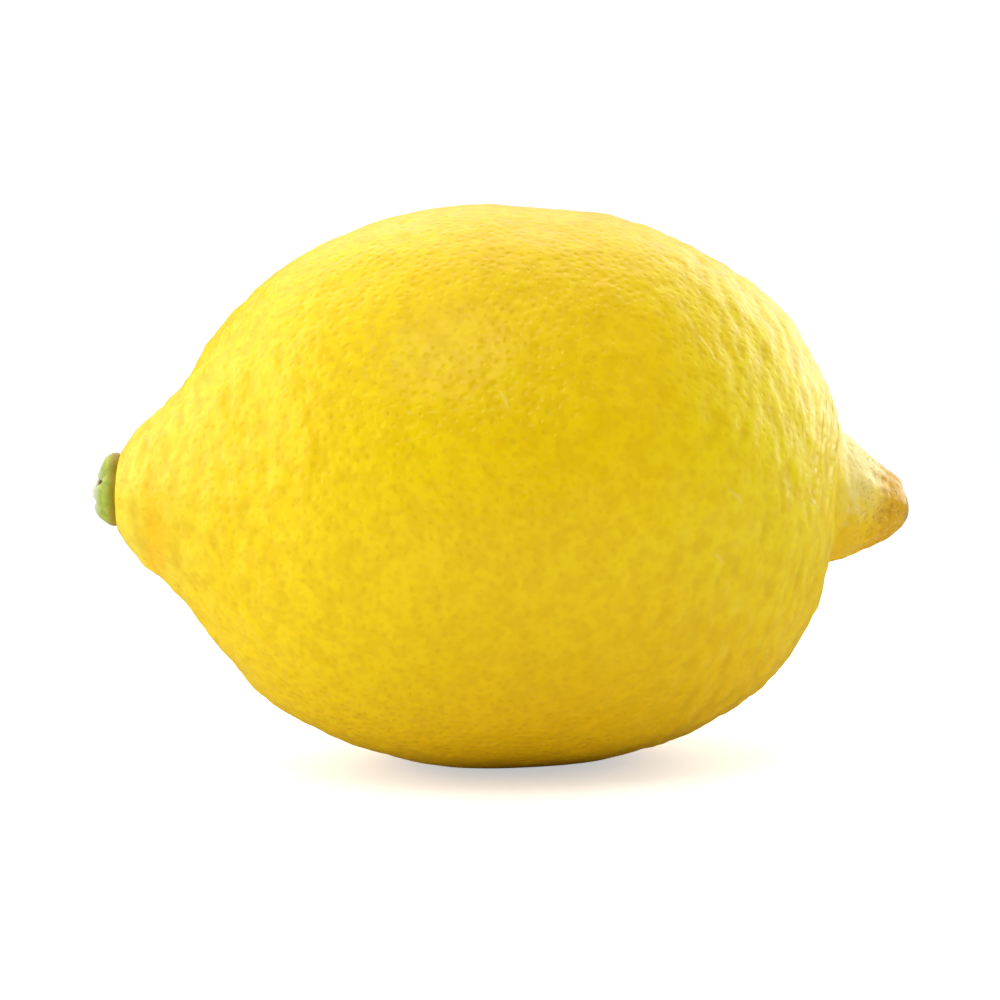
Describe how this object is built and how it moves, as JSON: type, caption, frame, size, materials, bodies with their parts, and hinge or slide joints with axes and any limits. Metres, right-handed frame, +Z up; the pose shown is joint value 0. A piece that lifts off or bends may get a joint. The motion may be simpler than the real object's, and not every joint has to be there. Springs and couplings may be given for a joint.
{
  "type": "lemon",
  "caption": "Whole fresh lemon with a pointed nipple at one end and a green calyx button with its clipped stalk at the other, lying on its side.",
  "frame": {"origin": "under the middle of the whole lemon's box, on the surface it rests on: the plane of its flat rest spot", "axes": "+Z up, +X along the fruit's core from the stem end to the nipple, +Y across"},
  "size_m": [0.0926, 0.0612, 0.0614],
  "materials": {
    "rind": "waxy pitted lemon rind, satin",
    "calyx": "fleshy green calyx, satin",
    "stalk": "dry clipped stalk, matte"
  },
  "bodies": {
    "root": {"fruit": "rind", "calyx": "calyx", "stalk_stub": "stalk"}
  },
  "joints": []
}
